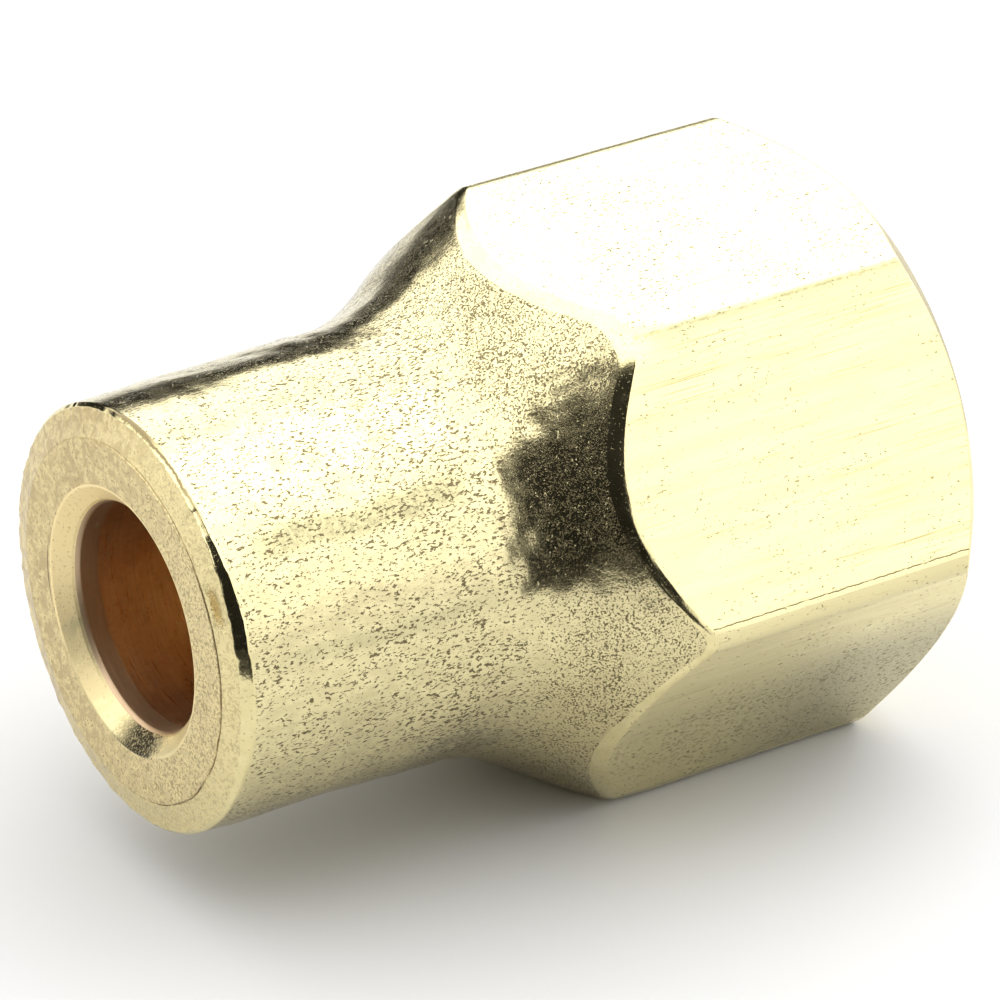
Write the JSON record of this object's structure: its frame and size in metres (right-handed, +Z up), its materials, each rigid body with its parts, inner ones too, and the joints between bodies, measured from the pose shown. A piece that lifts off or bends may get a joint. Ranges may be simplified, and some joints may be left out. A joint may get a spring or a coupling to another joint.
{
  "type": "flare nut",
  "caption": "Long forged brass flare nut: round drafted neck with a tube bore, flared shoulder and a wrench hexagon over an internal thread with a 45 degree seat.",
  "frame": {"origin": "on the resting wrench flat, under the middle of the nut's length", "axes": "+X along the nut's axis from the neck's end face to the threaded mouth, +Z up, square to the resting and the upper wrench flat"},
  "size_m": [0.0234, 0.018, 0.0159],
  "materials": {
    "forged_brass": "shot-blasted forged skin, satin trimmed flats and turned faces"
  },
  "bodies": {
    "root": {"flare_nut": "forged_brass"}
  },
  "joints": []
}
